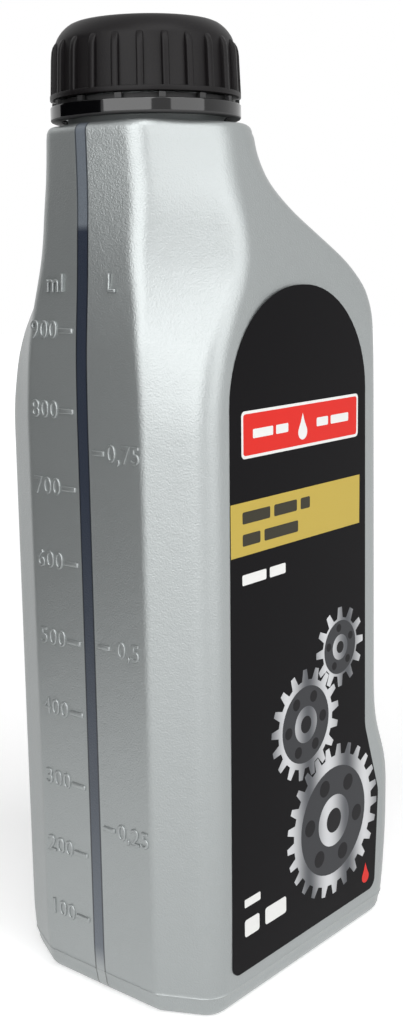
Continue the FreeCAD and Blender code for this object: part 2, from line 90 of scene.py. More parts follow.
def finished(bm, name, material, body, smooth=30.0):
    """Turns a bmesh into a shown object on a CAD body, smooth up to an edge angle."""
    for face in bm.faces:
        face.smooth = True
    for edge in bm.edges:
        if len(edge.link_faces) == 2 and edge.calc_face_angle(0) > math.radians(smooth):
            edge.smooth = False
    mesh = bpy.data.meshes.new(name)
    bm.to_mesh(mesh)
    bm.free()
    mesh.materials.append(material)
    thing = bpy.data.objects.new(name, mesh)
    bpy.context.scene.collection.objects.link(thing)
    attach(thing, body)
    return thing


def rounded(corners, steps, margin=0.12):
    """Points of a closed outline with an arc at each (x, y, radius) corner.

    Each straight side also gets two points near its ends, so that flats shade flat.
    """
    points = []
    sharp = [Vector((x, y)) for x, y, _ in corners]
    frames = []
    for i, (_, _, radius) in enumerate(corners):
        back = (sharp[i - 1] - sharp[i]).normalized()
        ahead = (sharp[(i + 1) % len(sharp)] - sharp[i]).normalized()
        half = back.angle(ahead) / 2
        reach = radius / math.tan(half)
        centre = sharp[i] + (back + ahead).normalized() * radius / math.sin(half)
        frames.append((centre, sharp[i] + back * reach, sharp[i] + ahead * reach))
    for i, (centre, first, last) in enumerate(frames):
        start = first - centre
        swing = start.angle_signed(last - centre)
        for k in range(steps + 1):
            points.append(centre + Matrix.Rotation(-swing * k / steps, 2) @ start)
        following = frames[(i + 1) % len(frames)][1]
        for share in (margin, 1 - margin):
            points.append(last.lerp(following, share))
    return points


def ring_of(bm, points, height):
    """Closed loop of edges through the points at a height."""
    verts = [bm.verts.new((p.x, p.y, height)) for p in points]
    for i, vert in enumerate(verts):
        bm.edges.new((verts[i - 1], vert))
    return verts


def raised(bm, ring, points, heights):
    """Extrudes a loop and moves its copy to the points; heights is one value or one a point."""
    count = len(ring)
    edges = [bm.edges.get((ring[i - 1], ring[i])) for i in range(count)]
    made = set(bmesh.ops.extrude_edge_only(bm, edges=edges)["geom"])
    copy = []
    for i, vert in enumerate(ring):
        twin = next(e.other_vert(vert) for e in vert.link_edges if e.other_vert(vert) in made)
        height = heights[i] if isinstance(heights, list) else heights
        twin.co = (points[i].x, points[i].y, height)
        copy.append(twin)
    return copy


# Each row is a level section: height, then the left panel, left crease, depth, right crease
# and right panel, half widths of the left and right panels, and the two corner radii.
SECTIONS = np.array([
    (0.0, 45.8, 38.3, 32.6, 37.6, 44.4, 18.5, 18.5, 5.0, 7.0),
    (9.9, 46.65, 39.4, 33.3, 39.0, 45.4, 18.9, 18.9, 5.0, 7.5),
    (26.3, 46.65, 39.4, 33.4, 40.6, 46.5, 18.9, 18.9, 5.0, 7.5),
    (43.8, 46.65, 39.4, 33.4, 40.6, 46.65, 18.9, 18.9, 5.0, 7.5),
    (50.4, 46.65, 39.4, 33.4, 38.9, 44.8, 18.9, 18.9, 5.0, 7.5),
    (58.3, 46.65, 39.4, 33.4, 35.1, 40.9, 18.9, 18.9, 5.0, 7.5),
    (65.8, 46.65, 39.4, 33.4, 33.9, 39.8, 18.9, 18.9, 5.0, 7.5),
    (151.2, 46.65, 39.2, 33.4, 32.3, 38.4, 18.9, 18.9, 5.0, 7.5),
    (165.5, 46.4, 36.0, 33.4, 31.6, 38.6, 18.2, 18.9, 5.0, 7.5),
    (175.4, 45.7, 30.4, 33.1, 31.0, 38.4, 17.4, 18.4, 5.5, 8.0),
    (183.0, 45.1, 25.0, 32.5, 24.0, 36.8, 16.4, 17.9, 6.0, 8.0),
    (189.8, 44.8, 23.2, 31.7, 12.8, 32.2, 15.4, 16.9, 6.5, 8.5),
    (195.7, 44.5, 22.8, 30.4, 1.8, 24.2, 15.7, 15.4, 7.0, 9.0),
    (201.7, 44.2, 22.4, 28.7, -6.1, 15.6, 16.0, 13.9, 7.0, 10.0),
    (208.2, 44.2, 21.4, 26.2, -10.1, 8.4, 15.6, 12.5, 7.0, 12.0),
    (219.2, 44.4, 20.6, 24.2, -10.9, 4.8, 15.2, 11.5, 7.0, 14.0),
])
COLLAR = 219.2 * MM
FOOT_ROUND = 4.5 * MM
COLLAR_ROUND = 2.2 * MM
WALL = 1.0 * MM
NECK_X = -21.4 * MM
NECK_RADIUS = 18.9 * MM
NECK_TOP = 238.5 * MM
BORE_RADIUS = 17.0 * MM
OIL_LEVEL = 195.6 * MM
STRIP_HALF = 1.9 * MM
SILVER = "919595"
RIDGE_HEIGHTS, RIDGE_SLOPES = (168.0, 183.0, 196.0, 206.0, 219.2), (0.004, 0.07, 0.14, 0.19, 0.21)


def section_points(height, inset=0.0, ease=5.0 * MM):
    """Outline of the blown body at a height, averaged a little over the height round it.

    Towards the collar the left panel rises to a shallow ridge along the strip.
    """
    span = np.linspace(-ease, ease, 9)
    rows = [np.interp((height + s) / MM, SECTIONS[:, 0], column)
            for s in span for column in SECTIONS[:, 1:].T]
    mean = np.array(rows).reshape(len(span), -1).mean(0) * MM
    left, crease_left, depth, crease_right, right, narrow_left, narrow_right, edge, crease = mean
    left, right, depth = left - inset, right - inset, depth - inset
    crease_left -= inset * 0.55
    crease_right -= inset * 0.55
    narrow_left -= inset * 0.25
    narrow_right -= inset * 0.25
    edge, crease = max(edge - inset, 0.3 * MM), max(crease - inset, 0.3 * MM)
    slope = float(np.interp(height / MM, RIDGE_HEIGHTS, RIDGE_SLOPES))
    corner = left - slope * (narrow_left - 1.9 * MM)
    front = [(-corner, -narrow_left, edge), (-crease_left, -depth, crease),
             (crease_right, -depth, crease), (right, -narrow_right, edge)]
    ridge = [(-left, 1.9 * MM, 1.0 * MM), (-left, -1.9 * MM, 1.0 * MM)]
    return rounded(front + [(x, -y, r) for x, y, r in reversed(front)] + ridge, steps=8)


def round_about_neck(points, radius):
    """The same number of points on a circle about the neck's axis."""
    axis = Vector((NECK_X, 0))
    return [axis + (p - axis).normalized() * radius for p in points]


bm = bmesh.new()
base = section_points(0.0, FOOT_ROUND + 2.5 * MM)
ring = ring_of(bm, base, 1.2 * MM)
bottom = bmesh.ops.contextual_create(bm, geom=[e for e in bm.edges])["faces"]
ring = raised(bm, ring, section_points(0.0, FOOT_ROUND + 1.6 * MM), 0.0)
for k in range(7):
    turn = math.radians(15 * k)
    inset = FOOT_ROUND * (1 - math.sin(turn))
    ring = raised(bm, ring, section_points(0.0, inset), FOOT_ROUND * (1 - math.cos(turn)))
for height, proud in ((6.3, 0.0), (6.5, 0.12), (6.7, 0.0)):
    ring = raised(bm, ring, section_points(height * MM, -proud * MM), height * MM)
for height in np.arange(7.5 * MM, COLLAR - COLLAR_ROUND, 1.5 * MM):
    ring = raised(bm, ring, section_points(float(height)), float(height))
for k in range(7):
    turn = math.radians(15 * k)
    inset = COLLAR_ROUND * (1 - math.cos(turn))
    height = COLLAR - COLLAR_ROUND * (1 - math.sin(turn))
    ring = raised(bm, ring, section_points(COLLAR, inset), height)
collar_points = section_points(COLLAR)
for radius, height in ((19.3, 219.2), (18.9, 219.6), (18.9, 221.2), (20.0, 221.3), (20.2, 221.6),
                       (20.2, 222.4), (20.0, 222.7), (18.9, 222.8), (18.9, 238.1), (18.5, 238.5),
                       (17.3, 238.5), (17.0, 238.2), (17.0, 218.4)):
    ring = raised(bm, ring, round_about_neck(collar_points, radius * MM), height * MM)
for height in (218.2, 214.0, 208.0, 202.0, 196.0, 190.0, 183.0, 176.0, 166.0, 152.0, 100.0, 66.0,
               58.0, 50.0, 43.0, 26.0, 8.0, 3.0):
    height *= MM
    ring = raised(bm, ring, section_points(height, WALL), height)
bmesh.ops.contextual_create(bm, geom=[bm.edges.get((ring[i - 1], ring[i])) for i in range(len(ring))])
bmesh.ops.recalc_face_normals(bm, faces=bm.faces)

# Blown polyethylene with aluminium pigment: the flakes lie along the wall, so it shines like a
# dull metal, and the sand-blasted mould leaves an orange peel that sparkles in the light.
silver, shader = new_material("silver_blown_hdpe", Metallic=0.65, Roughness=0.38)
place = add_node(silver, "ShaderNodeTexCoord").outputs["Object"]
axes = add_node(silver, "ShaderNodeSeparateXYZ", {0: place})
grain = add_node(silver, "ShaderNodeTexNoise", {"Vector": place}, Scale=1 / (0.42 * MM), Detail=2.0)
peel = add_node(silver, "ShaderNodeTexNoise", {"Vector": place}, Scale=1 / (3.5 * MM), Detail=2.0)
fine = add_node(silver, "ShaderNodeBump", {"Height": grain.outputs["Fac"]}, Strength=0.6,
                Distance=0.14 * MM)
skin = add_node(silver, "ShaderNodeBump", {"Height": peel.outputs["Fac"], "Normal": fine.outputs[0]},
                Strength=0.3, Distance=0.2 * MM)
silver.node_tree.links.new(skin.outputs[0], shader.inputs["Normal"])

# The sight strip is clear resin let into the wall: it shows the dark oil up to its level and
# the pale empty wall above, and fades into the foot; a thin line of painted shade runs along each side.
off_line = add_node(silver, "ShaderNodeMath", {0: axes.outputs["Y"]}, operation="ABSOLUTE")
across = add_node(silver, "ShaderNodeMapRange", {"Value": off_line.outputs[0]}, From_Max=3.0 * MM)
# Painted shade: a thin dark band just inside each edge of the strip, multiplied into its colour.
edge_shade = add_node(silver, "ShaderNodeValToRGB", {"Fac": across.outputs[0]})
for at, tone in ((0.0, "FFFFFF"), (0.44, "FFFFFF"), (0.52, "8C8C8C"), (0.58, "8C8C8C"), (0.64, "FFFFFF")):
    if at in (0.0, 0.44):
        stop = edge_shade.color_ramp.elements[0 if at == 0.0 else 1]
        stop.position = at
    else:
        stop = edge_shade.color_ramp.elements.new(at)
    stop.color = linear(tone)
beside = add_node(silver, "ShaderNodeMapRange", {"Value": off_line.outputs[0]},
                  From_Min=STRIP_HALF - 0.1 * MM, From_Max=STRIP_HALF + 0.1 * MM, To_Min=1.0, To_Max=0.0)
on_left = add_node(silver, "ShaderNodeMath", {0: axes.outputs["X"]}, operation="LESS_THAN")
on_left.inputs[1].default_value = -42.0 * MM
strip = add_node(silver, "ShaderNodeMath", {0: beside.outputs[0], 1: on_left.outputs[0]},
                 operation="MULTIPLY")
along = add_node(silver, "ShaderNodeMapRange", {"Value": axes.outputs["Z"]}, From_Max=COLLAR)
window = add_node(silver, "ShaderNodeValToRGB", {"Fac": along.outputs[0]})
LEVEL_SHARE = OIL_LEVEL / COLLAR
WINDOW_TONES = ((0.0, SILVER), (0.03, SILVER), (0.06, "565C64"), (0.25, "3A4049"), (0.6, "242A36"),
                (LEVEL_SHARE - 0.003, "202632"), (LEVEL_SHARE, "5A6067"), (1.0, "5A6067"))
window.color_ramp.elements[1].position = 1.0
for i, (share, tone) in enumerate(WINDOW_TONES):
    stop = window.color_ramp.elements[0] if i == 0 else window.color_ramp.elements.new(min(share, 0.999))
    stop.color = linear(tone)
window.color_ramp.elements[-1].color = linear("5A6067")
shaded_window = add_node(silver, "ShaderNodeMix", {6: window.outputs[0], 7: edge_shade.outputs[0]}, data_type="RGBA",
                 blend_type="MULTIPLY")
shaded_window.inputs[0].default_value = 1.0
wall = add_node(silver, "ShaderNodeMix", {0: strip.outputs[0], 7: shaded_window.outputs[2]}, data_type="RGBA")
wall.inputs[6].default_value = linear(SILVER)
silver.node_tree.links.new(wall.outputs[2], shader.inputs["Base Color"])
metal = add_node(silver, "ShaderNodeMapRange", {"Value": strip.outputs[0]}, To_Min=0.65, To_Max=0.0)
silver.node_tree.links.new(metal.outputs[0], shader.inputs["Metallic"])

bottle = finished(bm, "bottle_shell", silver, "bottle_body", smooth=50.0)
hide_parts("bottle")

# The neck's thread: one rounded ridge that winds up the neck, blown with the bottle.
THREAD_PITCH = 5.0 * MM
THREAD_TURNS = 1.9
THREAD_FOOT = 226.0 * MM


def wound(name, inner, outer, foot, turns, material, body, half_width=0.9 * MM):
    """A right-handed ridge between two radii, wound about the neck's axis from a height."""
    ridge = bmesh.new()
    corners = [(inner, -1.5 * half_width), (outer, -0.6 * half_width), (outer, 0.6 * half_width),
               (inner, 1.5 * half_width)]
    verts = [ridge.verts.new((NECK_X + r, 0.0, foot + z)) for r, z in corners]
    face = ridge.faces.new(verts)
    steps = int(turns * 48)
    bmesh.ops.spin(ridge, geom=[face], cent=(NECK_X, 0.0, 0.0), axis=(0.0, 0.0, 1.0),
                   dvec=(0.0, 0.0, turns * THREAD_PITCH / steps), angle=turns * 2 * math.pi,
                   steps=steps, use_merge=False)
    bmesh.ops.recalc_face_normals(ridge, faces=ridge.faces)
    return finished(ridge, name, material, body)


thread = wound("neck_thread", NECK_RADIUS - 0.2 * MM, NECK_RADIUS + 0.7 * MM, THREAD_FOOT,
               THREAD_TURNS, silver, "bottle_body")

# The moulded scale beside the strip: raised ticks and plain numerals on the left panel,
# cut in the mould, so they have the wall's own colour and a soft edge.
SCALE_RISE = 0.35 * MM
ML_MARKS = (("100", 19.5), ("200", 37.3), ("300", 55.9), ("400", 75.2), ("500", 93.9), ("600", 114.0),
            ("700", 132.8), ("800", 151.9), ("900", 171.2))
LITRE_MARKS = (("0,25", 46.9), ("0,5", 94.5), ("0,75", 142.5))
FIGURE_HEIGHT = 4.3 * MM
TICK_HEIGHT = 1.3 * MM


def panel_x(height):
    """Place of the left panel at a height."""
    return -float(np.interp(height / MM, SECTIONS[:, 0], SECTIONS[:, 1])) * MM


def figures(text, middle, height, size=FIGURE_HEIGHT):
    """Raised figures on the left panel, centred at a depth and a height."""
    curve = bpy.data.curves.new("figures", "FONT")
    curve.body = text
    curve.size = size / 0.72
    curve.align_x = "CENTER"
    curve.align_y = "CENTER"
    curve.extrude = 0.1 * MM
    curve.bevel_depth = SCALE_RISE - 0.1 * MM
    curve.bevel_resolution = 2
    curve.offset = -0.12 * MM
    curve.resolution_u = 3
    curve.space_character = 1.05
    holder = bpy.data.objects.new("figures", curve)
    bpy.context.scene.collection.objects.link(holder)
    mesh = bpy.data.meshes.new_from_object(holder.evaluated_get(bpy.context.evaluated_depsgraph_get()))
    bpy.data.objects.remove(holder)
    tilt = math.atan2(panel_x(height + 3 * MM) - panel_x(height - 3 * MM), 6 * MM)
    stand = Matrix(((0, 0, -1), (-1, 0, 0), (0, 1, 0))).to_4x4()
    lean = Matrix.Rotation(tilt, 4, "Y")
    mesh.transform(Matrix.Translation((panel_x(height) + 0.05 * MM, middle, height)) @ lean @ stand)
    return mesh


def tick(marks, middle, height, length):
    """A raised bar with rounded ends and edges, level on the left panel."""
    verts = bmesh.ops.create_cube(marks, size=1.0)["verts"]
    bmesh.ops.scale(marks, vec=(2 * SCALE_RISE, length, TICK_HEIGHT), verts=verts)
    bmesh.ops.translate(marks, vec=(panel_x(height), middle, height), verts=verts)
    edges = list({e for v in verts for e in v.link_edges})
    bmesh.ops.bevel(marks, geom=edges, offset=0.3 * MM, segments=3, profile=0.5, affect="EDGES",
                    material=-1, clamp_overlap=True)


scale_marks = bmesh.new()
for text, height in ML_MARKS:
    scale_marks.from_mesh(figures(text, 12.9 * MM, height * MM))
    tick(scale_marks, 5.4 * MM, height * MM, 4.8 * MM)
for text, height in LITRE_MARKS:
    scale_marks.from_mesh(figures(text, -13.0 * MM, height * MM))
    tick(scale_marks, -5.0 * MM, height * MM, 4.0 * MM)
for text, middle in (("ml", 9.4), ("L", -9.0)):
    scale_marks.from_mesh(figures(text, middle * MM, 182.3 * MM))
marks = finished(scale_marks, "scale_marks", silver, "bottle_body")

# The oil: clear amber engine oil that fills the bottle to the line in the strip, and so takes
# the shape of the hollow.
oil_skin = WALL + 0.02 * MM
levels = [3.2, 8.0, 26.0, 43.0, 50.0, 58.0, 66.0, 100.0, 152.0, 166.0, 176.0, 183.0, 190.0, OIL_LEVEL / MM]
oil = bmesh.new()
ring = ring_of(oil, section_points(levels[0] * MM, oil_skin), levels[0] * MM)
bmesh.ops.contextual_create(oil, geom=list(oil.edges))
for level in levels[1:]:
    ring = raised(oil, ring, section_points(level * MM, oil_skin), level * MM)
bmesh.ops.contextual_create(oil, geom=[oil.edges.get((ring[i - 1], ring[i])) for i in range(len(ring))])
bmesh.ops.recalc_face_normals(oil, faces=oil.faces)
amber, shader = new_material("amber_oil", Roughness=0.05, Base_Color=linear("8A4A12"), IOR=1.47)
engine_oil = finished(oil, "engine_oil", amber, "bottle_body", smooth=50.0)
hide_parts("oil_fill")

# The tamper band: a polished polypropylene ring held by the bead of the neck, with the
# stubs of the bridges that tore when the cap was first turned.
BAND_FOOT = 220.5 * MM
BAND_HEIGHT = 3.4 * MM
BAND_RADIUS = 23.14 * MM
BAND_BORE = 20.35 * MM


def turned(profile, steps=144):
    """A bmesh of (radius, height) points spun about the neck's axis, closed on itself."""
    solid = bmesh.new()
    verts = [solid.verts.new((NECK_X + r, 0.0, z)) for r, z in profile]
    edges = [solid.edges.new((verts[i - 1], verts[i])) for i in range(1, len(verts))]
    if profile[0][0] > 0:
        edges.append(solid.edges.new((verts[-1], verts[0])))
    bmesh.ops.spin(solid, geom=verts + edges, cent=(NECK_X, 0.0, 0.0), axis=(0.0, 0.0, 1.0),
                   angle=2 * math.pi, steps=steps, use_merge=True)
    bmesh.ops.remove_doubles(solid, verts=solid.verts, dist=0.005 * MM)
    bmesh.ops.recalc_face_normals(solid, faces=solid.faces)
    return solid


def softened(solid, offset, sharp=40.0, segments=2):
    """Bevels every edge sharper than an angle."""
    edges = [e for e in solid.edges if len(e.link_faces) == 2 and e.calc_face_angle(0) > math.radians(sharp)]
    bmesh.ops.bevel(solid, geom=edges, offset=offset, segments=segments, profile=0.5,
                    affect="EDGES", material=-1, clamp_overlap=True)


BAND_TOP = BAND_FOOT + BAND_HEIGHT
COLLAR_TOP = 225.1 * MM
band = turned([(BAND_BORE, BAND_FOOT)]
              + [(BAND_RADIUS - back * MM, BAND_FOOT + up * MM)
                 for back, up in ((0.5, 0.0), (0.2, 0.12), (0.05, 0.35), (0.0, 0.6), (0.0, 0.7),
                                  (0.0, 3.0), (0.0, 3.1), (0.06, 3.28), (0.2, 3.4))]
              + [(21.2 * MM, BAND_TOP), (21.2 * MM, COLLAR_TOP), (BAND_BORE, COLLAR_TOP)])
softened(band, 0.1 * MM, sharp=60.0)
for k in range(14):
    stub = bmesh.ops.create_cube(band, size=1.0)["verts"]
    bmesh.ops.scale(band, vec=(1.0 * MM, 1.6 * MM, 1.3 * MM), verts=stub)
    bmesh.ops.translate(band, vec=(22.24 * MM, 0.0, COLLAR_TOP - 0.65 * MM), verts=stub)
    bmesh.ops.rotate(band, cent=(0, 0, 0), matrix=Matrix.Rotation(k * math.tau / 14, 3, "Z"), verts=stub)
    bmesh.ops.translate(band, vec=(NECK_X, 0.0, 0.0), verts=stub)
# Polypropylene from a polished cavity: black, and its outer wall mirrors the lamps as bright
# windows, while the torn bridges and the ring's rough foot stay dull.
polished, shader = new_material("polished_black_pp", Base_Color=linear("050506"), Roughness=0.07,
                                Specular_IOR_Level=0.5)
place = add_node(polished, "ShaderNodeTexCoord").outputs["Object"]
axes = add_node(polished, "ShaderNodeSeparateXYZ", {0: place})
torn = add_node(polished, "ShaderNodeMapRange", {"Value": axes.outputs["Z"]}, From_Min=BAND_TOP - 0.1 * MM,
                From_Max=BAND_TOP + 0.1 * MM, To_Min=0.07, To_Max=0.6)
rough_foot = add_node(polished, "ShaderNodeMapRange", {"Value": axes.outputs["Z"]},
                      From_Min=BAND_FOOT + 0.3 * MM, From_Max=BAND_FOOT + 0.5 * MM, To_Min=0.6, To_Max=0.07)
dull = add_node(polished, "ShaderNodeMath", {0: torn.outputs[0], 1: rough_foot.outputs[0]}, operation="MAXIMUM")
polished.node_tree.links.new(dull.outputs[0], shader.inputs["Roughness"])
tamper_band = finished(band, "tamper_ring", polished, "bottle_body")
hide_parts("tamper_band")

# The screw cap: injection-moulded black polypropylene with a plain lip, 24 upright ribs
# for the fingers that run out into a domed shoulder, and a flat top.
CAP_FOOT = 225.4 * MM
CAP_TOP = 242.9 * MM
CAP_RADIUS = 23.14 * MM
CAP_BORE = 20.3 * MM
LIP = 1.2 * MM
RIB_COUNT = 24
RIB_WIDTH = 1.7 * MM
RIB_PHASE = 8.9
DOME = ((21.94, 226.6), (21.49, 238.2), (21.32, 238.9), (21.0, 239.6), (20.55, 240.3), (20.0, 241.0),
        (19.4, 241.6), (18.8, 242.1), (18.2, 242.5), (17.5, 242.8), (16.8, 242.9))
RIB_SIDE = ((21.0, 226.3), (23.14, 226.3), (22.74, 235.2), (22.6, 236.4), (22.3, 237.4), (21.8, 238.2),
            (21.0, 238.9), (20.4, 238.9), (20.9, 237.0))

cap = turned([(0.0, 240.0 * MM), (18.8 * MM, 240.0 * MM), (CAP_BORE, 238.2 * MM), (CAP_BORE, CAP_FOOT),
              (CAP_RADIUS, CAP_FOOT), (CAP_RADIUS, CAP_FOOT + LIP)]
             + [(r * MM, z * MM) for r, z in DOME] + [(0.0, CAP_TOP)], steps=192)
softened(cap, 0.2 * MM, sharp=50.0)
for k in range(RIB_COUNT):
    foot = cap.faces.new([cap.verts.new((r * MM, -RIB_WIDTH / 2, z * MM)) for r, z in RIB_SIDE])
    grown = bmesh.ops.extrude_face_region(cap, geom=[foot], use_keep_orig=True)["geom"]
    far = [v for v in grown if isinstance(v, bmesh.types.BMVert)]
    bmesh.ops.translate(cap, vec=(0.0, RIB_WIDTH, 0.0), verts=far)
    rib = list(foot.verts) + far
    bmesh.ops.recalc_face_normals(cap, faces=list({f for v in rib for f in v.link_faces}))
    outer = [e for e in {e for v in rib for e in v.link_edges}
             if all(v.co.x > 21.3 * MM or v.co.z > 238.5 * MM for v in e.verts)
             and abs(e.verts[0].co.y - e.verts[1].co.y) < 0.1 * MM]
    edged = bmesh.ops.bevel(cap, geom=outer, offset=0.45 * MM, segments=3, profile=0.5, affect="EDGES",
                            material=-1, clamp_overlap=True)
    rib = list({v for v in rib + edged["verts"] if v.is_valid})
    turn = Matrix.Rotation(math.radians(RIB_PHASE + k * 360 / RIB_COUNT), 3, "Z")
    bmesh.ops.rotate(cap, cent=(0, 0, 0), matrix=turn, verts=rib)
    bmesh.ops.translate(cap, vec=(NECK_X, 0.0, 0.0), verts=rib)
bmesh.ops.recalc_face_normals(cap, faces=cap.faces)
# Polypropylene from a spark-cut cavity: a fine even grain that turns highlights dull.
black_pp, shader = new_material("grained_black_pp", Base_Color=linear("0B090A"), Roughness=0.45,
                                Specular_IOR_Level=0.15)
place = add_node(black_pp, "ShaderNodeTexCoord").outputs["Object"]
spark = add_node(black_pp, "ShaderNodeTexNoise", {"Vector": place}, Scale=1 / (0.5 * MM), Detail=3.0)
dent = add_node(black_pp, "ShaderNodeBump", {"Height": spark.outputs["Fac"]}, Strength=0.4,
                Distance=0.08 * MM)
black_pp.node_tree.links.new(dent.outputs[0], shader.inputs["Normal"])
screw_cap = finished(cap, "cap_shell", black_pp, "cap", smooth=35.0)
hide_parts("screw_cap")
cap_thread = wound("cap_thread", CAP_BORE + 0.2 * MM, CAP_BORE - 0.5 * MM, 228.4 * MM, 1.6, black_pp, "cap")

# The sealing liner: a wad of foamed polyethylene, pressed in the cap.
foam, shader = new_material("white_foam_liner", Base_Color=linear("E6E5E0"), Roughness=0.6)
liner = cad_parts["cap_liner"]
liner.data.materials.clear()
liner.data.materials.append(foam)

# The front label: a black printed film with an arched top, glued on the front panel.
LABEL_BACK = -33.41 * MM
LABEL_FACE = -33.54 * MM
INK = 0.04 * MM


def flat_piece(name, outlines, material, back, front):
    """Thin sheets with the given (x, z) outlines in millimetres, standing across -Y."""
    sheet = bmesh.new()
    for outline in outlines:
        verts = [sheet.verts.new((x * MM, back, z * MM)) for x, z in outline]
        face = sheet.faces.new(verts)
        made = bmesh.ops.extrude_face_region(sheet, geom=[face])["geom"]
        for vert in made:
            if isinstance(vert, bmesh.types.BMVert):
                vert.co.y = front
    bmesh.ops.recalc_face_normals(sheet, faces=sheet.faces)
    piece = finished(sheet, name, material, "bottle_body")
    return piece


label_outline = rounded([(-33.3, 10, 3), (31.9, 10, 3), (33.5, 39, 8), (26.4, 60, 12), (24.7, 181, 27.8),
                         (-31.9, 181, 27.8)], steps=16)
# Polypropylene film printed black and varnished: an even deep black with a faint sheen.
film, shader = new_material("black_label_film", Base_Color=linear("070608"), Roughness=0.4,
                            Specular_IOR_Level=0.05)
label = flat_piece("label_film", [label_outline], film, LABEL_BACK, LABEL_FACE)
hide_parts("front_label")

# The label's print: generic fields of colour, with rows of plain bars where a label has words
# and three meshing spur gears, laid on as thin films of ink.
GEARS = ((11.2, 37.2, 20.0, 25, 112.8), (-1.8, 68.2, 13.6, 17, 303.4), (13.8, 85.4, 9.6, 12, 240.5))
MODULE = 1.6


def bar(x0, z0, x1, z1, radius=0.0):
    """Outline of an upright rectangle, with round corners where a radius is given."""
    if radius:
        return rounded([(x0, z0, radius), (x1, z0, radius), (x1, z1, radius), (x0, z1, radius)], steps=6)
    return [(x0, z0), (x1, z0), (x1, z1), (x0, z1)]


def row(x, z, height, lengths):
    """Outlines of a row of bars that stand where words would be."""
    bars = []
    for length in lengths:
        bars.append(bar(x, z, x + length, z + height, 0.16 * height))
        x += length + 0.55 * height
    return bars


def drop(x, z, radius):
    """Outline of an oil drop with its point up."""
    round_part = [(x + radius * math.cos(t), z + radius * math.sin(t))
                  for t in np.linspace(math.radians(150), math.radians(390), 25)]
    sides = [(x + 0.42 * radius, z + 1.35 * radius), (x, z + 2.5 * radius), (x - 0.42 * radius, z + 1.35 * radius)]
    return round_part + sides


def disc(x, z, radius, steps=48):
    """Outline of a circle."""
    return [(x + radius * math.cos(t), z + radius * math.sin(t))
            for t in np.linspace(0, math.tau, steps, endpoint=False)]


def gear(x, z, radius, teeth, turn):
    """Outline of a spur gear on its pitch circle, with the middle of a tooth at an angle."""
    points = []
    for k in range(teeth):
        for share, reach in ((-0.3, -1.0), (-0.15, 0.85), (0.15, 0.85), (0.3, -1.0)):
            angle = math.radians(turn) + math.tau * (k + share) / teeth
            r = radius + reach * MODULE
            points.append((x + r * math.cos(angle), z + r * math.sin(angle)))
    return points


def holes(x, z, radius, teeth, turn):
    """Outlines of the round holes that lighten a gear's web."""
    count = 6 if radius > 10 else 5
    return [disc(x + 0.56 * radius * math.cos(t), z + 0.56 * radius * math.sin(t), 0.115 * radius, 24)
            for t in np.linspace(0, math.tau, count, endpoint=False) + math.radians(turn)]


# Gravure inks under varnish: flat even colours with a soft gloss.
white, shader = new_material("white_print", Base_Color=linear("D6D6D4"), Roughness=0.4, Specular_IOR_Level=0.15)
dark, shader = new_material("dark_print", Base_Color=linear("2B281C"), Roughness=0.4, Specular_IOR_Level=0.15)
red, shader = new_material("red_print", Base_Color=linear("C8251D"), Roughness=0.4, Specular_IOR_Level=0.15)
gold, shader = new_material("gold_print", Base_Color=linear("AE9843"), Roughness=0.4, Specular_IOR_Level=0.2)
black, shader = new_material("black_print", Base_Color=linear("0D0C0F"), Roughness=0.4, Specular_IOR_Level=0.1)
FIRST, SECOND, THIRD, FOURTH = (LABEL_FACE - INK * k for k in (1, 1.4, 1.8, 2.2))
flat_piece("gold_band", [bar(-32.3, 117.7, 22.6, 130.7)], gold, LABEL_FACE, FIRST)
flat_piece("band_rows", row(-27.8, 125.4, 2.9, (11.0, 9.5, 4.0)) + row(-27.8, 120.0, 2.9, (7.0, 14.0)), dark,
           FIRST, SECOND)
flat_piece("panel_keyline", [bar(-27.9, 141.0, 21.6, 152.3, 1.2)], white, LABEL_FACE, FIRST)
flat_piece("red_panel", [bar(-27.2, 141.7, 20.9, 151.6, 0.8)], red, FIRST, SECOND)
flat_piece("panel_rows", [drop(-3.2, 144.9, 1.9)] + row(-23.5, 145.6, 2.2, (8.0, 5.0))
           + row(2.8, 145.6, 2.2, (5.0, 8.0)), white, SECOND, THIRD)
flat_piece("white_rows", row(-28.0, 110.4, 2.6, (9.5, 6.5)) + row(-28.3, 27.2, 2.2, (6.5,))
           + row(-28.3, 19.2, 4.6, (6.0, 9.0)), white, LABEL_FACE, FIRST)
flat_piece("red_drop", [drop(27.2, 14.6, 1.7)], red, LABEL_FACE, FIRST)

# The gears' ink runs from dark to light grey aslant, as a turned steel face shines.
steel, shader = new_material("steel_grey_print", Roughness=0.4, Specular_IOR_Level=0.2)
place = add_node(steel, "ShaderNodeTexCoord").outputs["Object"]
slant = add_node(steel, "ShaderNodeMapping", {"Vector": place})
slant.inputs["Rotation"].default_value = (0.0, math.radians(35), 0.0)
slant.inputs["Scale"].default_value = (1 / (15 * MM), 1.0, 1.0)
shine = add_node(steel, "ShaderNodeTexWave", {"Vector": slant.outputs[0]}, Scale=0.32, Distortion=0.0)
tones = add_node(steel, "ShaderNodeValToRGB", {"Fac": shine.outputs["Fac"]})
tones.color_ramp.elements[0].color = linear("4A4C50")
tones.color_ramp.elements[1].color = linear("BFC0C2")
steel.node_tree.links.new(tones.outputs[0], shader.inputs["Base Color"])
dark_steel, shader = new_material("dark_grey_print", Base_Color=linear("2C2D30"), Roughness=0.4, Specular_IOR_Level=0.15)
flat_piece("gear_print", [gear(*g) for g in GEARS], steel, LABEL_FACE, FIRST)
flat_piece("gear_webs", [disc(x, z, 0.76 * r) for x, z, r, _, _ in GEARS], dark_steel, FIRST, SECOND)
flat_piece("gear_holes", [hole for g in GEARS for hole in holes(*g)], black, SECOND, THIRD)
flat_piece("gear_hubs", [disc(x, z, 0.36 * r) for x, z, r, _, _ in GEARS], steel, SECOND, THIRD)
flat_piece("gear_bores", [disc(x, z, 0.17 * r) for x, z, r, _, _ in GEARS], black, THIRD, FOURTH)

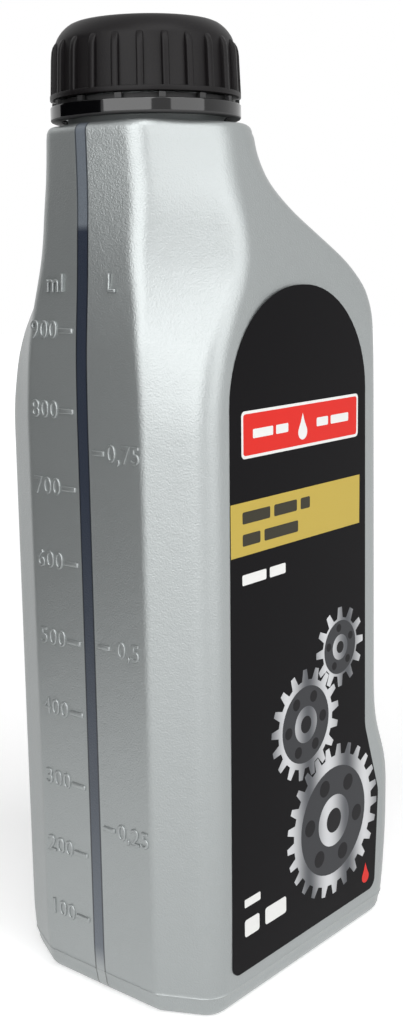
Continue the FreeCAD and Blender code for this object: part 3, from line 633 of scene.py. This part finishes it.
# The studio: a pale floor, a white surround and soft boxes.
floor = bmesh.new()
bmesh.ops.create_circle(floor, cap_ends=True, segments=64, radius=3.0)
mesh = bpy.data.meshes.new("floor")
floor.to_mesh(mesh)
floor.free()
studio_floor = bpy.data.objects.new("studio_floor", mesh)
bpy.context.scene.collection.objects.link(studio_floor)
pale, shader = new_material("pale_floor", Base_Color=linear("F4F4F4"), Roughness=0.95)
shader.inputs["Specular IOR Level"].default_value = 0.1
rays = add_node(pale, "ShaderNodeLightPath")
place = add_node(pale, "ShaderNodeTexCoord").outputs["Object"]
away = add_node(pale, "ShaderNodeVectorMath", {0: place}, operation="LENGTH")
pale_edge = add_node(pale, "ShaderNodeMapRange", {"Value": away.outputs["Value"]}, From_Min=0.15,
                     From_Max=1.2, To_Min=0.4, To_Max=1.0)
shown = add_node(pale, "ShaderNodeMath", {0: rays.outputs["Is Camera Ray"], 1: rays.outputs["Is Glossy Ray"]},
                 operation="MAXIMUM")
lift = add_node(pale, "ShaderNodeMath", {0: shown.outputs[0], 1: pale_edge.outputs[0]},
                operation="MULTIPLY")
shader.inputs["Emission Color"].default_value = (1.0, 1.0, 1.0, 1.0)
pale.node_tree.links.new(lift.outputs[0], shader.inputs["Emission Strength"])
mesh.materials.append(pale)
studio_floor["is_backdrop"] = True

world = bpy.data.worlds.new("studio")
bpy.context.scene.world = world
world.use_nodes = True
background = world.node_tree.nodes["Background"]
rays = add_node(world, "ShaderNodeLightPath")
seen = add_node(world, "ShaderNodeMath", {0: rays.outputs["Is Camera Ray"], 1: rays.outputs["Is Glossy Ray"]},
                operation="MAXIMUM")
through = add_node(world, "ShaderNodeMath", {0: seen.outputs[0], 1: rays.outputs["Is Transmission Ray"]},
                   operation="MAXIMUM")
strength = add_node(world, "ShaderNodeMapRange", {"Value": through.outputs[0]}, To_Min=0.12, To_Max=1.0)
world.node_tree.links.new(strength.outputs[0], background.inputs["Strength"])
background.inputs["Color"].default_value = (1.0, 1.0, 1.0, 1.0)


def soft_box(name, bearing, rise, distance, width, height, power):
    """An area lamp seen from the bottle's middle at a bearing from -X to -Y and a rise."""
    bearing, rise = math.radians(bearing), math.radians(rise)
    aim = Vector((0.0, 0.0, 0.12))
    away = Vector((-math.cos(bearing) * math.cos(rise), -math.sin(bearing) * math.cos(rise), math.sin(rise)))
    lamp = bpy.data.lights.new(name, "AREA")
    lamp.shape = "RECTANGLE"
    lamp.size, lamp.size_y = width, height
    lamp.energy = power
    box = bpy.data.objects.new(name, lamp)
    box.location = aim + away * distance
    box.rotation_mode = "QUATERNION"
    box.rotation_quaternion = (-away).to_track_quat("-Z", "Y")
    bpy.context.scene.collection.objects.link(box)
    return box


soft_box("left_box", 19.5, 22.0, 1.2, 1.28, 1.0, 13.5)
soft_box("front_box", 92.0, 19.0, 1.2, 0.95, 1.0, 7.0)
soft_box("top_box", 66.0, 56.0, 1.2, 0.9, 0.7, 6.5)

# A black card beside the left panel, seen only in reflections, keeps that panel in shade.
card = bmesh.new()
bmesh.ops.create_grid(card, x_segments=1, y_segments=1, size=0.5)
bmesh.ops.scale(card, vec=(0.34, 0.36, 1.0), verts=card.verts)
bearing = math.radians(-42.0)
stand = Matrix.Rotation(math.radians(-90) + bearing, 4, "Z") @ Matrix.Rotation(math.radians(90), 4, "X")
aside = Vector((-math.cos(bearing) * 0.27, -math.sin(bearing) * 0.27, 0.18))
bmesh.ops.transform(card, matrix=Matrix.Translation(aside) @ stand, verts=card.verts)
mesh = bpy.data.meshes.new("dark_card")
card.to_mesh(mesh)
card.free()
dark_card = bpy.data.objects.new("dark_card", mesh)
bpy.context.scene.collection.objects.link(dark_card)
black_card, shader = new_material("black_card", Base_Color=linear("050505"), Roughness=1.0,
                                  Specular_IOR_Level=0.0)
mesh.materials.append(black_card)
dark_card.visible_camera = False
dark_card.visible_diffuse = False
dark_card.visible_transmission = False
dark_card.visible_shadow = False
dark_card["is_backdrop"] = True

# The camera: the photograph's place and angle, with its small shift and roll.
CAMERA_PLACE = Vector((-275.25, -226.77, 189.03)) * MM
YAW, PITCH, ROLL = math.radians(49.247), math.radians(10.962), math.radians(-1.061)
FOCAL_PIXELS, LONG_SIDE, SHORT_SIDE = 1347.75, 1028, 403
CENTRE_X, CENTRE_Y = 178.34, 514.1
ahead = Vector((math.sin(YAW) * math.cos(PITCH), math.cos(YAW) * math.cos(PITCH), -math.sin(PITCH)))
right = ahead.cross(Vector((0, 0, 1))).normalized()
upward = right.cross(ahead)
right, upward = (right * math.cos(ROLL) + upward * math.sin(ROLL),
                 upward * math.cos(ROLL) - right * math.sin(ROLL))
lens = bpy.data.cameras.new("camera")
lens.sensor_width = 36.0
lens.lens = 36.0 * FOCAL_PIXELS / LONG_SIDE
lens.shift_x = (SHORT_SIDE / 2 - CENTRE_X) / LONG_SIDE
lens.shift_y = (CENTRE_Y - LONG_SIDE / 2) / LONG_SIDE
lens.clip_start, lens.clip_end = 0.01, 20.0
camera = bpy.data.objects.new("camera", lens)
camera.matrix_world = Matrix.Translation(CAMERA_PLACE) @ Matrix((right, upward, -ahead)).transposed().to_4x4()
bpy.context.scene.collection.objects.link(camera)
bpy.context.scene.camera = camera
bpy.context.scene.view_settings.view_transform = "Standard"

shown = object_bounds()
